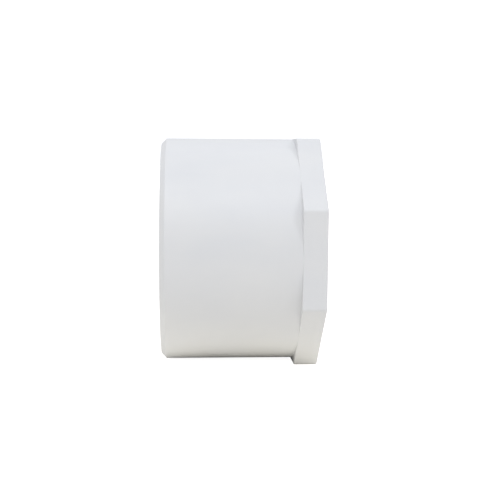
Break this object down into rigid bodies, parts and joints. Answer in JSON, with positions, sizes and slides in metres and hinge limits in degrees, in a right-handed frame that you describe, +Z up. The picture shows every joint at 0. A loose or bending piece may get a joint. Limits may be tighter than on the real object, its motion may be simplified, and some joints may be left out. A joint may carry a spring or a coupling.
{
  "type": "pipe cap",
  "caption": "Female-threaded pipe cap in white moulded plastic: a round skirt with a chamfered rim, a thin octagonal head and a flat gasket inside.",
  "frame": {"origin": "centre of the bounding box's bottom: under the middle of the cap, at the flat of the octagonal head that it lies on, half way along its length", "axes": "+Z up, with the cap lying on one flat of its octagonal head; the pipe axis runs along X, 21.12 mm above the origin, with the open threaded mouth at -X and the closed head at +X"},
  "size_m": [0.0292, 0.0422, 0.0422],
  "materials": {
    "pvc_white": "moulded satin",
    "epdm_black": "matt"
  },
  "bodies": {
    "root": {"cap_body": "pvc_white", "sealing_gasket": "epdm_black"}
  },
  "joints": []
}
